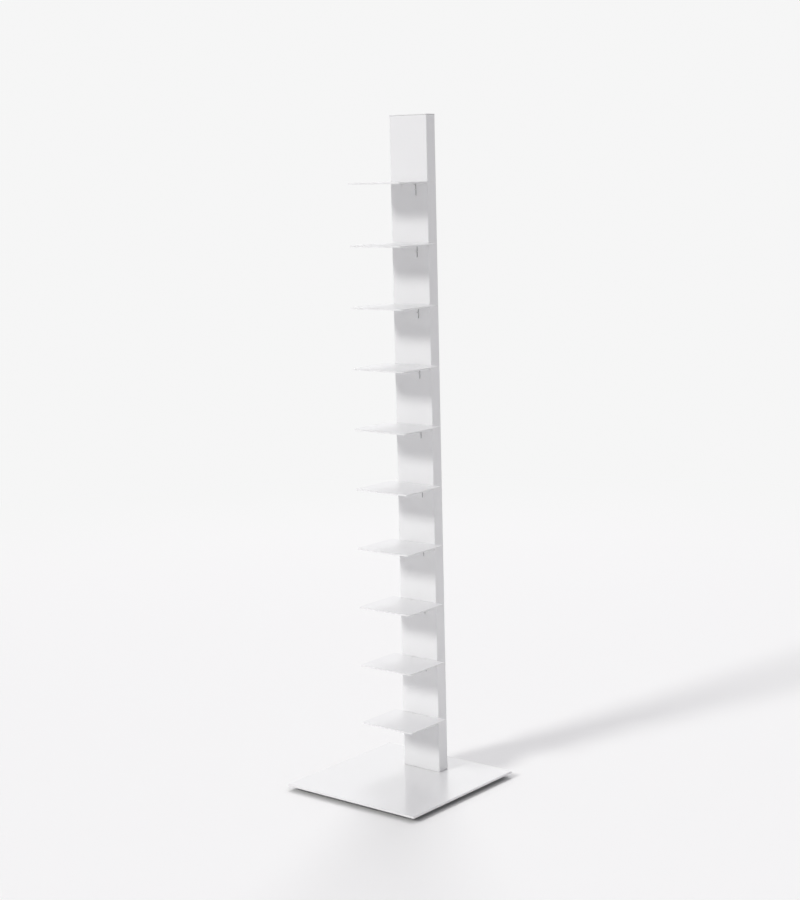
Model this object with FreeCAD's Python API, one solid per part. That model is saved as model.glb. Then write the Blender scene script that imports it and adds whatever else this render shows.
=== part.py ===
import FreeCAD, Part
import math
import os

# A free-standing spine bookcase: a slim steel column on a square floor plate.
# Small folded trays hook into slots in the column's front face, one stack of books to a tray.
# Frame: +Z up, the origin on the floor at the middle of the base plate, the trays reach
# forward to -Y. All sizes are in millimetres.

# Floor plate
base_width = 350.0
base_depth = 350.0
base_thickness = 5.0
base_corner_radius = 2.0
base_edge_chamfer = 0.7

# Feet under the plate
foot_height = 10.0
foot_width = 36.0
foot_chamfer = 1.5
foot_inset = 42.0
foot_recess_diameter = 15.0
foot_recess_depth = 4.2
washer_diameter = 14.0
washer_thickness = 1.0

# Foot screws, cheese head
foot_screw_diameter = 4.0
foot_screw_head_diameter = 8.0
foot_screw_head_height = 2.4
foot_screw_bite = 3.6
foot_screw_socket = 2.5
foot_screw_socket_depth = 1.4

# Column
column_width = 100.0
column_depth = 30.0
column_wall = 2.0
column_corner_radius = 2.0
column_back_margin = 70.0
shadow_gap = 1.0
shadow_inset = 1.2

# Cap on the column
cap_thickness = 2.0
cap_edge_chamfer = 0.4
cap_skirt_height = 8.0
cap_skirt_wall = 1.5

# Block in the column's foot, and the countersunk screws that hold it
block_height = 10.0
base_screw_diameter = 8.0
base_screw_head_diameter = 16.0
base_screw_socket = 5.0
base_screw_socket_depth = 3.0
base_screw_spacing = 60.0
base_screw_count = 2

# Trays
tray_count = 10
tray_pitch = 130.0
first_tray_height = 140.0
head_room = 140.0
tray_width = 140.0
tray_depth = 120.0
tray_sheet = 3.0
tray_corner_radius = 5.0
tray_bend_radius = 2.0
relief_width = 2.0
relief_run_out = 1.5

# The tray's flange and its two hooks
flange_width = 38.0
flange_height = 30.0
flange_corner_radius = 2.0
hook_bend_radius = 1.0
hook_neck = 10.0
hook_drop = 5.0
hook_reach = 5.0
hook_lead_in = 1.0
hook_relief = 1.0

# Clearances
slip_clearance = 0.2
hole_clearance = 0.25
slot_clearance = 0.25
slot_head_room = 0.5
hook_play = 0.2
tray_back_gap = 0.3
head_sink = 0.1
screw_point_room = 0.5

# Levels and places that follow from the sizes above
base_bottom = foot_height
base_top = base_bottom + base_thickness
column_bottom = base_top + shadow_gap
top_tray_level = first_tray_height + (tray_count - 1) * tray_pitch
column_top = top_tray_level + head_room
tube_top = column_top - cap_thickness
column_front = base_depth / 2 - column_back_margin - column_depth
column_middle = column_front + column_depth / 2
wall_back = column_front + column_wall
inner_width = column_width - 2 * column_wall
inner_depth = column_depth - 2 * column_wall
inner_corner_radius = max(column_corner_radius - column_wall, 0.0)
tray_bend_outer = tray_bend_radius + tray_sheet
hook_bend_outer = hook_bend_radius + tray_sheet
hook_top_drop = tray_bend_outer + relief_run_out
hook_seat_drop = hook_top_drop + hook_neck
foot_places = {
    "foot_front_left": (-1, -1),
    "foot_front_right": (1, -1),
    "foot_back_left": (-1, 1),
    "foot_back_right": (1, 1),
}
left_and_right = (-1, 1)
upwards = FreeCAD.Vector(0, 0, 1)


def vector(x, y, z):
    return FreeCAD.Vector(x, y, z)


def save(name, *solids):
    """Write one node: a single solid, or a group of separate ones."""
    shape = solids[0] if len(solids) == 1 else Part.makeCompound(list(solids))
    shape.exportStep("parts/" + name + ".step")


def between(x_range, y_range, z_range):
    """A block between two values on each axis."""
    low = vector(min(x_range), min(y_range), min(z_range))
    high = vector(max(x_range), max(y_range), max(z_range))
    size = high - low
    return Part.makeBox(size.x, size.y, size.z, low)


def upright_block(width, depth, height, centre_y, bottom, corner_radius=0.0):
    """A block centred on x = 0, its four upright corners rounded."""
    solid = Part.makeBox(width, depth, height, vector(-width / 2, centre_y - depth / 2, bottom))
    if corner_radius <= 0:
        return solid
    corners = [edge for edge in solid.Edges if abs(edge.BoundBox.ZLength - height) < 1e-6]
    return solid.makeFillet(corner_radius, corners)


def broken_rim(solid, level, size):
    """Chamfer every edge that lies flat at one level of a solid."""
    rim = []
    for edge in solid.Edges:
        box = edge.BoundBox
        if abs(box.ZMin - level) < 1e-6 and abs(box.ZMax - level) < 1e-6:
            rim.append(edge)
    return solid.makeChamfer(size, rim)


def turned(profile, start):
    """Revolve a closed profile of (radius, height) points about the upright axis through start."""
    points = [start + vector(radius, 0, height) for radius, height in profile]
    return Part.Face(Part.makePolygon(points + [points[0]])).revolve(start, upwards, 360)


def rod(diameter, length, start):
    return Part.makeCylinder(diameter / 2, length, start, upwards)


def hexagon_socket(across_flats, depth, start):
    """A hexagonal prism to cut a key socket with."""
    radius = across_flats / math.sqrt(3)
    corners = []
    for step in range(7):
        angle = math.radians(60 * step)
        corners.append(start + vector(radius * math.cos(angle), radius * math.sin(angle), 0))
    return Part.Face(Part.makePolygon(corners)).extrude(upwards * depth)


def base_screw_places():
    """The row of screws under the column, as x positions."""
    first = -base_screw_spacing * (base_screw_count - 1) / 2
    return [first + base_screw_spacing * step for step in range(base_screw_count)]


def foot_place(name):
    side, end = foot_places[name]
    return side * (base_width / 2 - foot_inset), end * (base_depth / 2 - foot_inset)


def base_screw_hole(x):
    """Cutter for a 90 degree countersink and clearance hole, from the plate's underside."""
    radius = base_screw_diameter / 2 + hole_clearance
    mouth = base_screw_head_diameter / 2 + head_sink
    profile = [(0, 0), (mouth, 0), (radius, mouth - radius), (radius, base_thickness), (0, base_thickness)]
    return turned(profile, vector(x, column_middle, base_bottom))


def base_plate():
    """Ground steel plate with broken edges, countersunk for the column, tapped blind for the feet."""
    plate = upright_block(base_width, base_depth, base_thickness, 0, base_bottom, base_corner_radius)
    plate = broken_rim(plate, base_top, base_edge_chamfer)
    plate = broken_rim(plate, base_bottom, base_edge_chamfer)
    for x in base_screw_places():
        plate = plate.cut(base_screw_hole(x))
    for name in foot_places:
        x, y = foot_place(name)
        tap = rod(foot_screw_diameter, foot_screw_bite + screw_point_room, vector(x, y, base_bottom))
        plate = plate.cut(tap)
    return plate


def foot(name):
    """Square moulded rubber foot with a recess from below for its washer and screw."""
    x, y = foot_place(name)
    half = foot_width / 2
    floor_point = vector(x, y, 0)
    body = between((x - half, x + half), (y - half, y + half), (0, foot_height))
    body = broken_rim(body, 0, foot_chamfer)
    body = body.cut(rod(foot_recess_diameter, foot_recess_depth, floor_point))
    return body.cut(rod(foot_screw_diameter + 2 * hole_clearance, foot_height, floor_point))


def foot_washer(name):
    """Flat washer pressed up against the roof of the foot's recess."""
    x, y = foot_place(name)
    start = vector(x, y, foot_recess_depth - washer_thickness)
    disc = rod(washer_diameter, washer_thickness, start)
    return disc.cut(rod(foot_screw_diameter + 2 * hole_clearance, washer_thickness, start))


def foot_screw(name):
    """Its head bears on the washer and its shank bites in the plate's blind tap."""
    x, y = foot_place(name)
    seat = foot_recess_depth - washer_thickness
    head_start = vector(x, y, seat - foot_screw_head_height)
    head = rod(foot_screw_head_diameter, foot_screw_head_height, head_start)
    shank_length = base_bottom + foot_screw_bite - seat
    shank = rod(foot_screw_diameter, shank_length, vector(x, y, seat))
    socket = hexagon_socket(foot_screw_socket, foot_screw_socket_depth, head_start)
    return head.fuse(shank).cut(socket)


def column_screw(x):
    """Countersunk screw, up through the plate and nearly through the block."""
    radius = base_screw_diameter / 2
    head_radius = base_screw_head_diameter / 2
    start = vector(x, column_middle, base_bottom + head_sink)
    length = base_thickness + shadow_gap + block_height - head_sink - screw_point_room
    profile = [(0, 0), (head_radius, 0), (radius, head_radius - radius), (radius, length), (0, length)]
    return turned(profile, start).cut(hexagon_socket(base_screw_socket, base_screw_socket_depth, start))


def column_foot_block():
    """Steel block welded in the tube's foot; its lower lip lifts the tube off the plate."""
    lip_width = column_width - 2 * shadow_inset
    lip_depth = column_depth - 2 * shadow_inset
    lip = upright_block(lip_width, lip_depth, shadow_gap, column_middle, base_top)
    core_width = inner_width - 2 * slip_clearance
    core_depth = inner_depth - 2 * slip_clearance
    core = upright_block(core_width, core_depth, block_height, column_middle, column_bottom)
    body = lip.fuse(core).removeSplitter()
    for x in base_screw_places():
        start = vector(x, column_middle, base_top)
        body = body.cut(rod(base_screw_diameter, shadow_gap + block_height, start))
    return body


def tray_level(number):
    """Height of a tray's top face, counted from 1 at the bottom."""
    return first_tray_height + (number - 1) * tray_pitch


def hook_slot(level, side):
    """Slot in the column's front wall, tall enough to let a hook in and drop on its lower end."""
    inner_side = flange_width / 2 - hook_bend_outer - slot_clearance
    outer_side = flange_width / 2 + slot_clearance
    bottom = level - hook_seat_drop
    top = bottom + hook_neck + hook_drop + slot_head_room
    return between((side * inner_side, side * outer_side), (column_front, wall_back), (bottom, top))


def column():
    """Rectangular tube with a pair of hook slots in its front wall for each tray."""
    length = tube_top - column_bottom
    tube = upright_block(
        column_width, column_depth, length, column_middle, column_bottom, column_corner_radius
    )
    inside = upright_block(
        inner_width, inner_depth, length, column_middle, column_bottom, inner_corner_radius
    )
    tube = tube.cut(inside)
    slots = []
    for number in range(1, tray_count + 1):
        slots.extend(hook_slot(tray_level(number), side) for side in left_and_right)
    return tube.cut(slots)


def column_cap():
    """Flat cap that closes the tube: a plate on its end, with a skirt down inside it."""
    plate = upright_block(
        column_width, column_depth, cap_thickness, column_middle, tube_top, column_corner_radius
    )
    plate = broken_rim(plate, column_top, cap_edge_chamfer)
    skirt_width = inner_width - 2 * slip_clearance
    skirt_depth = inner_depth - 2 * slip_clearance
    skirt_bottom = tube_top - cap_skirt_height
    skirt = upright_block(skirt_width, skirt_depth, cap_skirt_height, column_middle, skirt_bottom)
    hollow_width = skirt_width - 2 * cap_skirt_wall
    hollow_depth = skirt_depth - 2 * cap_skirt_wall
    hollow = upright_block(hollow_width, hollow_depth, cap_skirt_height, column_middle, skirt_bottom)
    return plate.fuse(skirt.cut(hollow)).removeSplitter()


def tray_shelf(level):
    """The flat of the tray, notched at the back where the flange turns down."""
    front = column_front - tray_depth
    back = column_front - tray_back_gap
    bottom = level - tray_sheet
    shelf = between((-tray_width / 2, tray_width / 2), (front, back), (bottom, level))
    front_corners = []
    for edge in shelf.Edges:
        box = edge.BoundBox
        if abs(box.ZLength - tray_sheet) < 1e-6 and abs(box.YMax - front) < 1e-6:
            front_corners.append(edge)
    shelf = shelf.makeFillet(tray_corner_radius, front_corners)
    notch_side = flange_width / 2 + relief_width
    notch_front = column_front - tray_bend_outer - relief_run_out
    return shelf.cut(between((-notch_side, notch_side), (notch_front, column_front), (bottom, level)))


def bent_strip(level):
    """The strip that turns down behind the shelf, drawn in profile and extruded across."""
    start_y = column_front - tray_bend_outer - relief_run_out
    centre_y = column_front - tray_bend_outer
    centre_z = level - tray_bend_outer
    inner_face = column_front - tray_sheet
    flange_foot = level - flange_height
    slant = math.sqrt(0.5)

    def at(y, z):
        return vector(-flange_width / 2, y, z)

    def on_bend(radius):
        return at(centre_y + radius * slant, centre_z + radius * slant)

    outer_bend = Part.Arc(at(centre_y, level), on_bend(tray_bend_outer), at(column_front, centre_z))
    inner_bend = Part.Arc(
        at(inner_face, centre_z), on_bend(tray_bend_radius), at(centre_y, level - tray_sheet)
    )
    outline = [
        Part.makeLine(at(start_y, level), at(centre_y, level)),
        outer_bend.toShape(),
        Part.makeLine(at(column_front, centre_z), at(column_front, flange_foot)),
        Part.makeLine(at(column_front, flange_foot), at(inner_face, flange_foot)),
        Part.makeLine(at(inner_face, flange_foot), at(inner_face, centre_z)),
        inner_bend.toShape(),
        Part.makeLine(at(centre_y, level - tray_sheet), at(start_y, level - tray_sheet)),
        Part.makeLine(at(start_y, level - tray_sheet), at(start_y, level)),
    ]
    strip = Part.Face(Part.Wire(outline)).extrude(vector(flange_width, 0, 0))
    lower_corners = []
    for edge in strip.Edges:
        box = edge.BoundBox
        if abs(box.YLength - tray_sheet) < 1e-6 and abs(box.ZMax - flange_foot) < 1e-6:
            lower_corners.append(edge)
    return strip.makeFillet(flange_corner_radius, lower_corners)


def hook_room(level, side):
    """What is cut from the flange's side so that a hook can be bent back, with its two reliefs."""
    inner_side = flange_width / 2 - hook_bend_outer
    bottom = level - hook_seat_drop - hook_relief
    return between(
        (side * inner_side, side * flange_width / 2),
        (column_front - tray_sheet, column_front),
        (bottom, level - tray_bend_outer),
    )


def hook_bend(level, side):
    """The quarter bend from the flange into the hook, as a plan profile extruded upwards."""
    centre_x = side * (flange_width / 2 - hook_bend_outer)
    centre_y = column_front + hook_bend_radius
    bottom = level - hook_seat_drop
    slant = math.sqrt(0.5)

    def on_bend(radius, across, forward):
        return vector(centre_x + side * radius * across, centre_y - radius * forward, bottom)

    outer = [on_bend(hook_bend_outer, *way) for way in ((0, 1), (slant, slant), (1, 0))]
    inner = [on_bend(hook_bend_radius, *way) for way in ((1, 0), (slant, slant), (0, 1))]
    outline = [
        Part.Arc(*outer).toShape(),
        Part.makeLine(outer[-1], inner[0]),
        Part.Arc(*inner).toShape(),
        Part.makeLine(inner[-1], outer[0]),
    ]
    return Part.Face(Part.Wire(outline)).extrude(upwards * hook_neck)


def hook_plate(level, side):
    """The flat hook behind the bend: it passes the wall and drops behind it."""
    outer_side = side * flange_width / 2
    start = column_front + hook_bend_radius
    throat = wall_back + hook_play
    back = throat + hook_reach
    top = level - hook_top_drop
    seat = level - hook_seat_drop
    tip = seat - hook_drop
    outline = [
        (start, top),
        (back - hook_lead_in, top),
        (back, top - hook_lead_in),
        (back, tip),
        (throat + hook_lead_in, tip),
        (throat, tip + hook_lead_in),
        (throat, seat),
        (start, seat),
    ]
    corners = [vector(outer_side, y, z) for y, z in outline]
    face = Part.Face(Part.makePolygon(corners + [corners[0]]))
    return face.extrude(vector(-side * tray_sheet, 0, 0))


def tray(number):
    """One folded sheet tray: shelf, flange, and two hooks that sit in the column's slots."""
    level = tray_level(number)
    strip = bent_strip(level).cut([hook_room(level, side) for side in left_and_right])
    pieces = [strip]
    for side in left_and_right:
        pieces.append(hook_bend(level, side))
        pieces.append(hook_plate(level, side))
    return tray_shelf(level).fuse(pieces).removeSplitter()


os.makedirs("parts", exist_ok=True)
save("base_plate", base_plate())
for foot_name in foot_places:
    save(foot_name, foot(foot_name))
save("foot_washers", *[foot_washer(name) for name in foot_places])
save("foot_screws", *[foot_screw(name) for name in foot_places])
save("column", column())
save("column_cap", column_cap())
save("column_foot_block", column_foot_block())
save("column_screws", *[column_screw(x) for x in base_screw_places()])
for tray_number in range(1, tray_count + 1):
    save("tray_%02d" % tray_number, tray(tray_number))
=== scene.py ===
import math

import bmesh
import bpy
from mathutils import Matrix, Vector


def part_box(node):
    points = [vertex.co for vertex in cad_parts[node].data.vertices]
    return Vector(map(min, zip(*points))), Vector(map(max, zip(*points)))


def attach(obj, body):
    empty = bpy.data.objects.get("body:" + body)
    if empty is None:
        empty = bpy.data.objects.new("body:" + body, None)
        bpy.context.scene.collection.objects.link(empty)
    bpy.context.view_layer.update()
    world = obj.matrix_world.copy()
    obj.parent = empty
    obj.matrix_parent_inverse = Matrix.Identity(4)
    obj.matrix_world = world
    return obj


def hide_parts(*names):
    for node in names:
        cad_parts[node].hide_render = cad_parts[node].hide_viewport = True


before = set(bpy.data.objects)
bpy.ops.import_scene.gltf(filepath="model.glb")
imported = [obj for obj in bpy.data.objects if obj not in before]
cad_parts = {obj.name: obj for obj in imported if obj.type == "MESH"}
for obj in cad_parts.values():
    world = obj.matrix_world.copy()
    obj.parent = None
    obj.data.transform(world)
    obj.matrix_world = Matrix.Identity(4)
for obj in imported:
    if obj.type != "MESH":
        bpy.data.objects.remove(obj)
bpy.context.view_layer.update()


# Base plate. A square of 5 mm steel with broken edges, sprayed white under a clear coat, so
# that the column stands in a soft reflection of itself. Wiping has clouded it and rubbed its
# rim a little. Its underside is left in dark primer.

class Value:
    """One output of a finish. Sums and products of values add the Math nodes they need."""

    def __init__(self, finish, socket):
        self.finish = finish
        self.socket = socket

    def other(self, output):
        """Another output of the same node."""
        return Value(self.finish, self.socket.node.outputs[output])

    def maths(self, operation, first, second):
        return self.finish.node("ShaderNodeMath", {"operation": operation}, {0: first, 1: second})

    def __add__(self, other):
        return self.maths("ADD", self, other)

    def __radd__(self, other):
        return self.maths("ADD", other, self)

    def __sub__(self, other):
        return self.maths("SUBTRACT", self, other)

    def __rsub__(self, other):
        return self.maths("SUBTRACT", other, self)

    def __mul__(self, other):
        return self.maths("MULTIPLY", self, other)

    def __rmul__(self, other):
        return self.maths("MULTIPLY", other, self)

    def __abs__(self):
        return self.finish.node("ShaderNodeMath", {"operation": "ABSOLUTE"}, {0: self})

    def most(self, other):
        return self.maths("MAXIMUM", self, other)

    def least(self, other):
        return self.maths("MINIMUM", self, other)


class Finish:
    """The shader nodes of a material, or of the world, with the point or direction they colour."""

    def __init__(self, owner, coordinates="Object"):
        owner.use_nodes = True
        self.owner = owner
        self.tree = owner.node_tree
        self.tree.nodes.clear()
        self.spot = self.node("ShaderNodeTexCoord", output=coordinates)

    def node(self, kind, settings=None, inputs=None, output=0):
        """Any node: its settings first, then the numbers or links of its sockets."""
        made = self.tree.nodes.new(kind)
        for name, setting in (settings or {}).items():
            setattr(made, name, setting)
        for key, given in (inputs or {}).items():
            if isinstance(given, Value):
                self.tree.links.new(given.socket, made.inputs[key])
            else:
                made.inputs[key].default_value = given
        return Value(self, made.outputs[output]) if made.outputs else None

    def axes(self):
        """The point's x, y and z."""
        x = self.node("ShaderNodeSeparateXYZ", None, {"Vector": self.spot})
        return x, x.other(1), x.other(2)

    def noise(self, scale, detail=2.0, stretch=(1, 1, 1), shift=(0, 0, 0)):
        """Cloudy values about 0.5, with scale in lumps to the metre."""
        where = self.node(
            "ShaderNodeMapping", None, {"Vector": self.spot, "Scale": stretch, "Location": shift}
        )
        return self.node(
            "ShaderNodeTexNoise", None, {"Vector": where, "Scale": scale, "Detail": detail}, output="Fac"
        )

    def step(self, value, low, high):
        """0 under low, 1 over high, with a smooth run between."""
        return self.node(
            "ShaderNodeMapRange",
            {"interpolation_type": "SMOOTHSTEP"},
            {"Value": value, "From Min": low, "From Max": high},
        )

    def mix(self, share, first, second):
        """A colour between two, each a link or three numbers."""
        colours = [c if isinstance(c, Value) else (*c, 1.0) for c in (first, second)]
        return self.node(
            "ShaderNodeMix", {"data_type": "RGBA"}, {"Factor": share, 6: colours[0], 7: colours[1]}, output=2
        )

    def bump(self, height, depth, below=None):
        """Normals of a relief that is depth metres deep, on top of another one."""
        inputs = {"Height": height, "Distance": depth, "Strength": 1.0}
        if below is not None:
            inputs["Normal"] = below
        return self.node("ShaderNodeBump", None, inputs)

    def rim(self, box, reach):
        """1 on the edges of a box-shaped piece and 0 from reach inwards."""
        low, high = box
        near = []
        for axis, along in enumerate(self.axes()):
            half = (high[axis] - low[axis]) / 2
            off_centre = abs(along - (low[axis] + half))
            near.append(self.step(off_centre, half - reach, half))
        x, y, z = near
        return x.least(y).most(y.least(z)).most(x.least(z))

    def surface(self, **sockets):
        """The shader that a painted, moulded or plated surface ends in."""
        named = {name.replace("_", " "): given for name, given in sockets.items()}
        shader = self.node("ShaderNodeBsdfPrincipled", None, named, output="BSDF")
        self.node("ShaderNodeOutputMaterial", None, {"Surface": shader})
        return self.owner


def dress(node, material):
    """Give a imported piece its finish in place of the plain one."""
    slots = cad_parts[node].data.materials
    slots.clear()
    slots.append(material)


mm = 0.001
white = (0.835, 0.835, 0.84)
plate_white = (0.78, 0.78, 0.785)
mottled_white = (0.77, 0.77, 0.79)
worn_white = (0.72, 0.715, 0.70)
grit_grey = (0.60, 0.60, 0.60)
primer_grey = (0.06, 0.06, 0.065)
worn_rim = 1.6 * mm


def lacquer(name, box, gloss, rub, swirl, colour=white, coat=0.0, patch=None):
    """White lacquer on steel: a fine orange peel, faint mottling, swirls and a rubbed rim.
    A patch, such as bare primer or painted shade, is a function that gives its mask and its colour."""
    paint = Finish(bpy.data.materials.new(name))
    peel = paint.noise(620, detail=1.5)
    wave = paint.noise(16, detail=1.0)
    mottle = paint.noise(7, detail=3.0, shift=(4, 2, 7))
    smear = paint.noise(26, detail=4.0, stretch=swirl)
    grit = paint.step(paint.noise(700, detail=0.0, shift=(1, 8, 3)), 0.76, 0.84)
    rim = paint.rim(box, worn_rim) * paint.step(paint.noise(60, detail=3.0), 0.38, 0.62)
    tint = paint.mix(0.10 * mottle, colour, mottled_white)
    tint = paint.mix(rub * rim, tint, worn_white)
    tint = paint.mix(0.15 * grit, tint, grit_grey)
    if patch:
        mask, patch_colour = patch(paint)
        tint = paint.mix(mask, tint, patch_colour)
    relief = paint.bump(wave, 0.06 * mm)
    relief = paint.bump(peel, 0.004 * mm, relief)
    return paint.surface(
        Base_Color=tint,
        Roughness=(1 - gloss) + 0.10 * (smear - 0.5) + 0.15 * rim + 0.10 * grit,
        Normal=relief,
        IOR=1.5,
        Coat_Weight=coat,
        Coat_Roughness=0.12,
    )


base_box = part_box("base_plate")


def primed_underside(paint):
    """The plate's underside, where the spray gun doesn't reach."""
    paint_line = base_box[0].z + 0.3 * mm
    x, y, height = paint.axes()
    return 1 - paint.step(height, paint_line - 0.2 * mm, paint_line + 0.2 * mm), primer_grey


clear_coated = lacquer(
    "clear_coated_lacquer",
    base_box,
    gloss=0.64,
    rub=0.5,
    swirl=(1, 1, 1),
    colour=plate_white,
    coat=1.0,
    patch=primed_underside,
)
dress("base_plate", clear_coated)


# Feet. Square pads of black moulded rubber, each with a recess from below for its washer and
# screw. The rubber is matt, with a fine moulding grain and a little floor dust on its sole.

dusty_foot = 3 * mm


def moulded_rubber():
    rubber = Finish(bpy.data.materials.new("moulded_rubber"))
    grain = rubber.noise(1400)
    cloud = rubber.noise(90, detail=3.0)
    x, y, height = rubber.axes()
    dust = (1 - rubber.step(height, 0.0, dusty_foot)) * rubber.step(cloud, 0.35, 0.65)
    tint = rubber.mix(cloud, (0.020, 0.020, 0.021), (0.034, 0.034, 0.035))
    tint = rubber.mix(0.6 * dust, tint, (0.16, 0.155, 0.145))
    return rubber.surface(
        Base_Color=tint,
        Roughness=0.72 + 0.2 * (cloud - 0.5) + 0.1 * dust,
        Normal=rubber.bump(grain, 0.06 * mm),
        IOR=1.45,
    )


foot_rubber = moulded_rubber()
for foot_name in ("foot_front_left", "foot_front_right", "foot_back_left", "foot_back_right"):
    dress(foot_name, foot_rubber)


# Foot washers and screws. Turned steel with a bright zinc plate, which has a faint blue and
# straw bloom and dulls in patches.

def bright_zinc_plate():
    zinc = Finish(bpy.data.materials.new("bright_zinc_plate"))
    bloom = zinc.noise(140)
    scuff = zinc.noise(700, detail=3.0, stretch=(1, 1, 4))
    return zinc.surface(
        Base_Color=zinc.mix(bloom, (0.60, 0.63, 0.68), (0.68, 0.66, 0.58)),
        Metallic=1.0,
        Roughness=0.36 + 0.15 * (scuff - 0.5) + 0.10 * (bloom - 0.5),
        Normal=zinc.bump(scuff, 0.02 * mm),
    )


zinc_plate = bright_zinc_plate()
dress("foot_washers", zinc_plate)
dress("foot_screws", zinc_plate)


# Column. A rectangular steel tube, 100 by 30 mm, with small rounded corners and a pair of
# hook slots for each tray. Its white lacquer is satin, drawn slightly along its length.

column_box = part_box("column")
dress("column", lacquer("satin_white_lacquer", column_box, gloss=0.62, rub=0.35, swirl=(1, 1, 0.25)))


# Cap. A flat steel plate with a skirt that is pressed into the tube. It is sprayed by itself,
# and a hairline of painted shade lies along its lower edge at the joint. Hands have rubbed
# its rim.

# Painted shade: the dark grey of the hairline at the cap's joint and beside each tray's flange.
painted_shade_grey = (0.22, 0.22, 0.22)
joint_shade_width = 0.45 * mm
cap_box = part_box("column_cap")


def joint_painted_shade(paint):
    """The cap's lower edge, against the end of the tube, where a hairline of painted shade lies."""
    unshaded_above = column_box[1].z + joint_shade_width
    x, y, height = paint.axes()
    return 1 - paint.step(height, unshaded_above - 0.1 * mm, unshaded_above + 0.1 * mm), painted_shade_grey


# The cap's lacquer carries the painted shade at its joint.
cap_lacquer = lacquer(
    "cap_white_lacquer", cap_box, gloss=0.62, rub=0.6, swirl=(1, 1, 1), patch=joint_painted_shade
)
dress("column_cap", cap_lacquer)


# Foot block. Steel, welded in the tube's foot and sprayed with it. Only its lip shows, in the
# shadow gap under the column.

block_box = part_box("column_foot_block")
dress("column_foot_block", lacquer("block_white_lacquer", block_box, gloss=0.55, rub=0.2, swirl=(1, 1, 1)))


# Column screws. Countersunk, of steel that was blackened in oil, so they are dark and a
# little greasy, with grey where the key has rubbed.

def black_oxide():
    oxide = Finish(bpy.data.materials.new("black_oxide"))
    film = oxide.noise(260, detail=3.0)
    rubbed = oxide.step(oxide.noise(900), 0.58, 0.72)
    return oxide.surface(
        Base_Color=oxide.mix(0.5 * rubbed, (0.045, 0.045, 0.050), (0.22, 0.22, 0.23)),
        Metallic=0.9,
        Roughness=0.42 + 0.2 * (film - 0.5),
        Normal=oxide.bump(film, 0.03 * mm),
    )


dress("column_screws", black_oxide())


# Trays. Each is one piece of 3 mm sheet: a shelf, a flange that turns down against the column,
# and two hooks bent back from the flange's sides into the column's slots. It is laser cut,
# folded and sprayed white. Painted shade darkens the corners where the flange meets the column.

scene = bpy.context.scene
sheet = 3 * mm
shelf_corner = 5 * mm
shelf_fold = 5 * mm
fold_run_out = 1.5 * mm
relief_width = 2 * mm
back_gap = 0.3 * mm
flange_half = 19 * mm
flange_height = 30 * mm
flange_corner = 2 * mm
hook_fold = 1 * mm
hook_neck = 10 * mm
hook_drop = 5 * mm
hook_reach = 5 * mm
hook_lead_in = 1 * mm
hook_relief = 1 * mm
cut_edge = 0.3 * mm
merging = 0.01 * mm
# Painted shade: how far the dark line beside each flange reaches out from the column.
painted_shade_width = 1.8 * mm
wall = column_box[0].y


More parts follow.
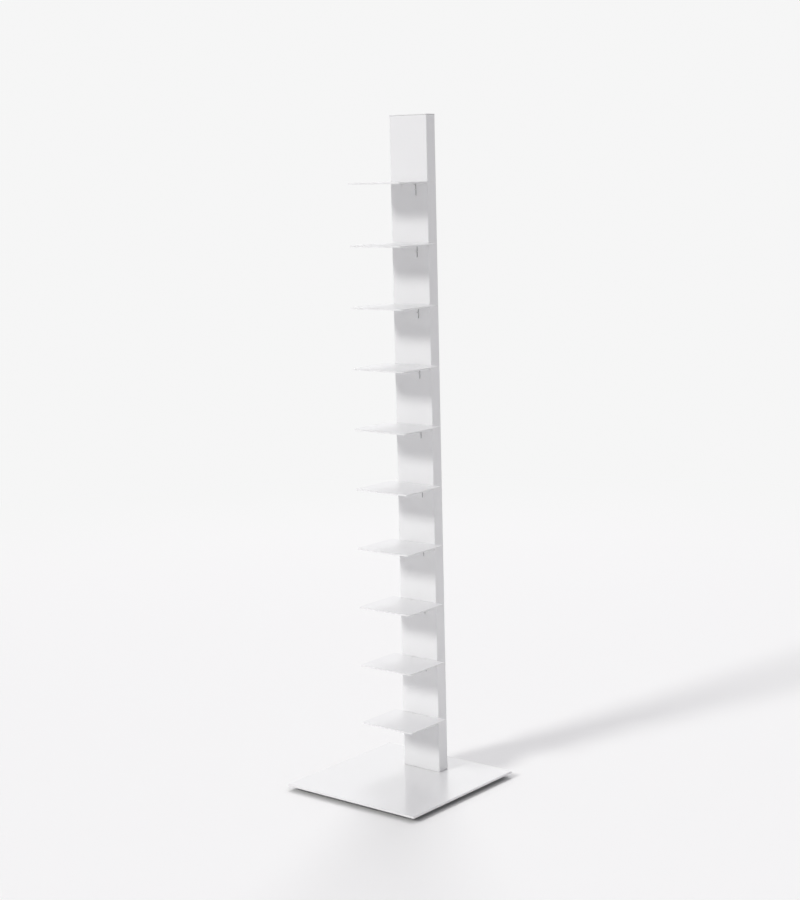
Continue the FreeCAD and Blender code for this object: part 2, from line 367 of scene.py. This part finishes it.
def folded_tray(name, finish):
    """Half of the sheet's upper and rear side, cut and folded. Modifiers mirror it, give it its
    thickness and break its edges."""
    low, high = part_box(name)
    top = high.z
    notch = wall - shelf_fold - fold_run_out
    neck_x = flange_half - hook_fold - sheet
    flange_foot = top - flange_height
    heel = high.y - hook_reach
    blade = bmesh.new()

    def point(x, y, z):
        return blade.verts.new((x, y, z))

    def pulled(edges, way):
        """Extrude edges and return their new copies."""
        new = bmesh.ops.extrude_edge_only(blade, edges=edges)["geom"]
        moved = [part for part in new if isinstance(part, bmesh.types.BMVert)]
        bmesh.ops.translate(blade, verts=moved, vec=way)
        return [part for part in new if isinstance(part, bmesh.types.BMEdge)]

    def folded(edges, centre, axis, angle, steps):
        """Spin edges round a fold and return their last copies."""
        turned = edges + list({vertex for edge in edges for vertex in edge.verts})
        last = bmesh.ops.spin(
            blade, geom=turned, cent=centre, axis=axis, angle=angle, steps=steps, use_merge=False
        )["geom_last"]
        return [part for part in last if isinstance(part, bmesh.types.BMEdge)]

    def cornered(vertex, size, steps):
        bmesh.ops.bevel(
            blade, geom=[vertex], offset=size, segments=steps, affect="VERTICES", profile=0.5, material=-1
        )

    def middle(edge):
        return (edge.verts[0].co + edge.verts[1].co) / 2

    # The shelf, with its front corner, and the notch beside the fold.
    front_corner = point(high.x, low.y, top)
    fold_start = point(0, notch, top)
    neck = point(neck_x, notch, top)
    side = point(flange_half, notch, top)
    outline = [
        point(0, low.y, top),
        front_corner,
        point(high.x, wall - back_gap, top),
        point(flange_half + relief_width, wall - back_gap, top),
        point(flange_half + relief_width, notch, top),
        side,
        neck,
        fold_start,
    ]
    blade.faces.new(outline)
    strip = [blade.edges.get((fold_start, neck)), blade.edges.get((neck, side))]
    cornered(front_corner, shelf_corner, 8)

    # The fold, and the flange under it, narrow beside the hooks' necks.
    strip = pulled(strip, (0, fold_run_out, 0))
    strip = folded(strip, (0, wall - shelf_fold, top - shelf_fold), (1, 0, 0), math.radians(-90), 8)
    web = [min(strip, key=lambda edge: middle(edge).x)]
    web = pulled(web, (0, 0, -fold_run_out))
    web = pulled(web, (0, 0, -hook_neck))
    web_side = max(web[0].link_faces[0].edges, key=lambda edge: middle(edge).x)
    web = pulled(web, (0, 0, -hook_relief))
    inner, outer = sorted(web[0].verts, key=lambda vertex: vertex.co.x)
    toe = point(flange_half, wall, flange_foot)
    apron = [inner, outer, point(flange_half, wall, outer.co.z), toe, point(0, wall, flange_foot)]
    blade.faces.new(apron)
    cornered(toe, flange_corner, 5)

    # The hook, bent back into the slot, with its lead-in corners.
    throat = folded([web_side], (neck_x, wall + hook_fold, 0), (0, 0, 1), math.radians(90), 5)
    throat = pulled(throat, (0, heel - wall - hook_fold, 0))
    back = pulled(throat, (0, hook_reach, 0))
    top_back = max(back[0].verts, key=lambda vertex: vertex.co.z)
    underside = min(back[0].link_faces[0].edges, key=lambda edge: middle(edge).z)
    tip = pulled([underside], (0, 0, -hook_drop))
    tip_front = min(tip[0].verts, key=lambda vertex: vertex.co.y)
    cornered(top_back, hook_lead_in, 1)
    cornered(tip_front, hook_lead_in, 1)

    bmesh.ops.remove_doubles(blade, verts=blade.verts, dist=merging)
    bmesh.ops.recalc_face_normals(blade, faces=blade.faces)
    shelf = max(blade.faces, key=lambda face: face.calc_area())
    if shelf.normal.z < 0:
        bmesh.ops.reverse_faces(blade, faces=blade.faces)
    for face in blade.faces:
        face.smooth = True
    mesh = bpy.data.meshes.new(name + "_folded")
    blade.to_mesh(mesh)
    blade.free()
    mesh.materials.append(finish)
    tray = bpy.data.objects.new(name + "_folded", mesh)
    scene.collection.objects.link(tray)
    halves = tray.modifiers.new("both_halves", "MIRROR")
    halves.merge_threshold = merging
    thickness = tray.modifiers.new("sheet", "SOLIDIFY")
    thickness.thickness = sheet
    thickness.offset = -1
    thickness.use_even_offset = True
    rounding = tray.modifiers.new("cut_edges", "BEVEL")
    rounding.width = cut_edge
    rounding.segments = 2
    rounding.limit_method = "ANGLE"
    rounding.angle_limit = math.radians(40)
    rounding.harden_normals = True
    return tray


def flange_painted_shade(underside):
    """The painted shade beside the flange of the tray whose shelf has its underside at this height."""

    def patch(paint):
        x, y, z = paint.axes()
        beside = paint.step(abs(x), flange_half - 0.7 * mm, flange_half - 0.2 * mm)
        behind = paint.step(y, wall - painted_shade_width, wall - painted_shade_width + 0.5 * mm)
        hanging = 1 - paint.step(z, underside - 3 * mm, underside - 1 * mm)
        return beside * behind * hanging, painted_shade_grey

    return patch


tray_names = sorted(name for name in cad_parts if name.startswith("tray_"))
for tray_name in tray_names:
    low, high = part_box(tray_name)
    underside = high.z - sheet
    shelf_box = (Vector((low.x, low.y, underside)), high)
    # Each tray's lacquer carries a line of painted shade beside its flange, against the column.
    tray_lacquer = lacquer(
        tray_name + "_lacquer",
        shelf_box,
        gloss=0.62,
        rub=0.5,
        swirl=(3, 0.3, 1),
        patch=flange_painted_shade(underside),
    )
    tray = folded_tray(tray_name, tray_lacquer)
    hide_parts(tray_name)
    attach(tray, "root")


# Floor. A pale seamless studio sheet. It takes the bookcase's shadow, and further off it looks
# like the plain background and sends less light back to the bookcase.

background = (0.92, 0.92, 0.92)
floor_half = 40.0
dimming = (1.0, 4.0)
fading = (1.9, 3.9)


def looking(finish):
    """1 for rays that come from the camera or from a mirroring or clear surface."""
    camera_ray = finish.node("ShaderNodeLightPath", output="Is Camera Ray")
    return camera_ray.most(camera_ray.other("Is Glossy Ray")).most(camera_ray.other("Is Transmission Ray"))


def between(finish, share, first, second):
    """A shader between two others."""
    return finish.node("ShaderNodeMixShader", None, {0: share, 1: first, 2: second})


def pale_floor():
    vinyl = Finish(bpy.data.materials.new("pale_floor"))
    near = vinyl.node("ShaderNodeBsdfDiffuse", None, {"Color": (0.915, 0.915, 0.91, 1)})
    dim = vinyl.node("ShaderNodeBsdfDiffuse", None, {"Color": (0.60, 0.60, 0.60, 1)})
    flat = vinyl.node("ShaderNodeEmission", None, {"Color": (*background, 1)})
    away = vinyl.node("ShaderNodeVectorMath", {"operation": "LENGTH"}, {0: vinyl.spot}, output="Value")
    seen = looking(vinyl)
    lit = between(vinyl, (1 - seen) * vinyl.step(away, *dimming), near, dim)
    both = between(vinyl, seen * vinyl.step(away, *fading), lit, flat)
    vinyl.node("ShaderNodeOutputMaterial", None, {"Surface": both})
    return vinyl.owner


floor_shape = bmesh.new()
bmesh.ops.create_grid(floor_shape, x_segments=1, y_segments=1, size=floor_half)
floor_mesh = bpy.data.meshes.new("floor")
floor_shape.to_mesh(floor_mesh)
floor_shape.free()
floor_mesh.materials.append(pale_floor())
floor = bpy.data.objects.new("floor", floor_mesh)
scene.collection.objects.link(floor)


# Studio light. A soft light stands far off in front, a little to the left, and a weaker and
# softer one high up behind. A dome that is brighter overhead fills their shadows, and a lit
# panel behind is what the floor plate mirrors.

dome_colour = (1.0, 0.985, 1.02, 1)
level_strength = 0.435
overhead_strength = 0.745

studio = bpy.data.worlds.new("studio")
scene.world = studio
air = Finish(studio, "Generated")
upward = air.axes()[2].most(0.0)
level = air.node("ShaderNodeBackground", None, {"Color": dome_colour, "Strength": level_strength})
overhead = air.node("ShaderNodeBackground", None, {"Color": dome_colour, "Strength": overhead_strength})
dome = between(air, upward * upward, level, overhead)
plain = air.node("ShaderNodeBackground", None, {"Color": (*background, 1)})
air.node("ShaderNodeOutputWorld", None, {"Surface": between(air, looking(air), dome, plain)})


def hung_lamp(name, lamp, place, aim):
    holder = bpy.data.objects.new(name, lamp)
    holder.location = place
    holder.rotation_euler = (Vector(aim) - Vector(place)).to_track_quat("-Z", "Y").to_euler()
    scene.collection.objects.link(holder)
    return holder


def far_lamp(name, width, strength, colour, place):
    """A lamp so far off that its light is parallel. The lacquer doesn't mirror it."""
    lamp = bpy.data.lights.new(name, "SUN")
    lamp.angle = math.radians(width)
    lamp.energy = strength * math.pi
    lamp.color = colour
    holder = hung_lamp(name, lamp, place, (0, 0, 0))
    holder.visible_glossy = False


far_lamp("front_light", 12, 0.46, (1.0, 1.0, 0.98), (-1.037, -4.158, 2.575))
far_lamp("back_light", 20, 0.20, (1.0, 1.0, 1.0), (-2.468, 3.8, 6.471))

panel_light = bpy.data.lights.new("back_panel", "AREA")
panel_light.shape = "RECTANGLE"
panel_light.size = 3.2
panel_light.size_y = 1.6
panel_light.energy = 4
panel = hung_lamp("back_panel", panel_light, (-2.6, 3.1, 1.5), (0, 0, 0.2))
panel.visible_camera = False


# Camera. It stands in front, to the right, a little above the column's middle, and looks
# slightly down through a long lens.

look_down = math.radians(9.01)
turned_left = math.radians(39.06)
roll = math.radians(-1.35)
camera_place = (2.429, -2.969, 1.352)
picture_height = 900
focal_length = 1818

eye = bpy.data.cameras.new("camera")
eye.sensor_width = 36
eye.lens = eye.sensor_width * focal_length / picture_height
camera = bpy.data.objects.new("camera", eye)
aim = Matrix.Rotation(turned_left, 4, "Z") @ Matrix.Rotation(math.radians(90) - look_down, 4, "X")
camera.matrix_world = Matrix.Translation(camera_place) @ aim @ Matrix.Rotation(roll, 4, "Z")
scene.collection.objects.link(camera)
scene.camera = camera
scene.view_settings.view_transform = "Standard"
